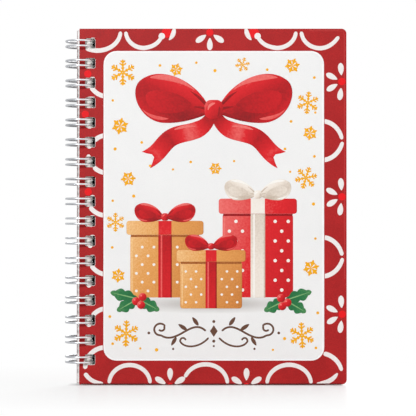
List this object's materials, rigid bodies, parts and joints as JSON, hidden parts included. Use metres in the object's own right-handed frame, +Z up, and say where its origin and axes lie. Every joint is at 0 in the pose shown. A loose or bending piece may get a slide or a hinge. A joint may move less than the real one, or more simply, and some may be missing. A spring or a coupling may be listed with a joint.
{
  "type": "wire-bound gift card holder",
  "caption": "Pocket-sized book that holds gift cards: laminated board covers and leaves with card pockets, bound along the left by a twin-loop wire on which they turn.",
  "frame": {"origin": "middle of the closed book's footprint, on the table", "axes": "+X from the wire to the fore-edge, +Y from the front cover to the back cover, +Z up"},
  "size_m": [0.1209, 0.0127, 0.1524],
  "materials": {
    "cover_print": "printed red paper with a matt laminate",
    "cover_board": "dense white-lined board",
    "cover_liner": "smooth white paper",
    "leaf": "uncoated ivory card",
    "pocket": "uncoated kraft card",
    "tape": "white foam tape",
    "wire": "bright silver wire"
  },
  "bodies": {
    "back_cover": {"binding_wire": "wire", "back_cover_print": "cover_print", "back_cover_board": "cover_board", "back_cover_liner": "cover_liner"},
    "leaf_pack_4": {"leaf_4": "leaf", "lower_pocket_4": "pocket", "upper_pocket_4": "pocket", "pocket_tape_4": "tape"},
    "leaf_pack_3": {"leaf_3": "leaf", "lower_pocket_3": "pocket", "upper_pocket_3": "pocket", "pocket_tape_3": "tape"},
    "leaf_pack_2": {"leaf_2": "leaf", "lower_pocket_2": "pocket", "upper_pocket_2": "pocket", "pocket_tape_2": "tape"},
    "leaf_pack_1": {"leaf_1": "leaf", "lower_pocket_1": "pocket", "upper_pocket_1": "pocket", "pocket_tape_1": "tape"},
    "front_cover": {"front_cover_print": "cover_print", "front_cover_board": "cover_board", "front_cover_liner": "cover_liner"}
  },
  "joints": [
    {"name": "leaf_4_turn", "type": "hinge", "parent": "back_cover", "child": "leaf_pack_4", "pos_m": [-0.0541, 0, 0.0762], "axis": [0, 0, -1], "range_deg": [0, 20]},
    {"name": "leaf_3_turn", "type": "hinge", "parent": "leaf_pack_4", "child": "leaf_pack_3", "pos_m": [-0.0541, 0, 0.0762], "axis": [0, 0, -1], "range_deg": [0, 20]},
    {"name": "leaf_2_turn", "type": "hinge", "parent": "leaf_pack_3", "child": "leaf_pack_2", "pos_m": [-0.0541, 0, 0.0762], "axis": [0, 0, -1], "range_deg": [0, 20]},
    {"name": "leaf_1_turn", "type": "hinge", "parent": "leaf_pack_2", "child": "leaf_pack_1", "pos_m": [-0.0541, 0, 0.0762], "axis": [0, 0, -1], "range_deg": [0, 20]},
    {"name": "front_cover_turn", "type": "hinge", "parent": "leaf_pack_1", "child": "front_cover", "pos_m": [-0.0541, 0, 0.0762], "axis": [0, 0, -1], "range_deg": [0, 100]}
  ]
}
